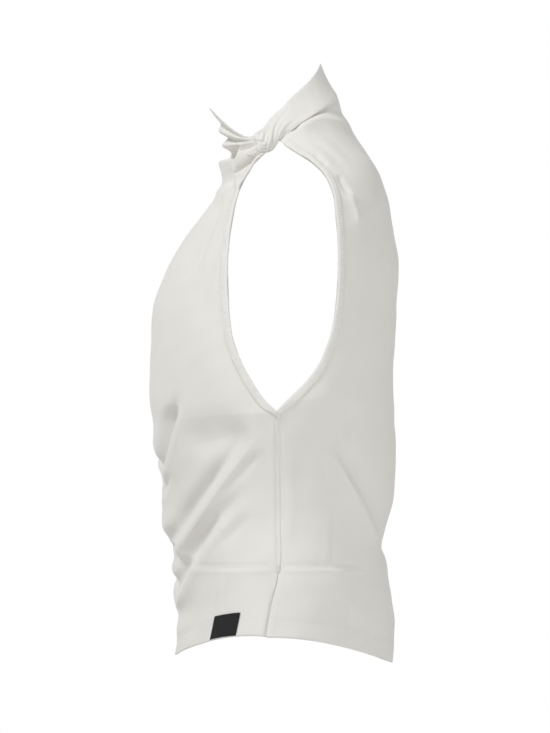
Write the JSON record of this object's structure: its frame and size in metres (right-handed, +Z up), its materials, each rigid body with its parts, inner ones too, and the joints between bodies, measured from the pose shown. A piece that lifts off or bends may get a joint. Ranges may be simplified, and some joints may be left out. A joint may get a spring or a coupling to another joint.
{
  "type": "sleeveless t-shirt",
  "caption": "Cropped sleeveless jersey top, held open as if worn, with a standing collar, a draped front neck and a rolled twist of cloth on each shoulder.",
  "frame": {"origin": "midway between the two shoulder twists, at the base of the neck, where a wearer's neck and shoulders hold the garment", "axes": "+Z up along the body, -Y the garment's front, +X the wearer's left"},
  "size_m": [0.3344, 0.2497, 0.5975],
  "materials": {
    "off_white_jersey": "matt fine-knit cotton jersey, warm off-white",
    "black_label": "plain black woven tape, slight sheen"
  },
  "bodies": {
    "root": {"front_panel": "off_white_jersey", "back_panel": "off_white_jersey", "neckband": "off_white_jersey", "armhole_binding_left": "off_white_jersey", "armhole_binding_right": "off_white_jersey", "hem_label": "black_label"}
  },
  "joints": []
}
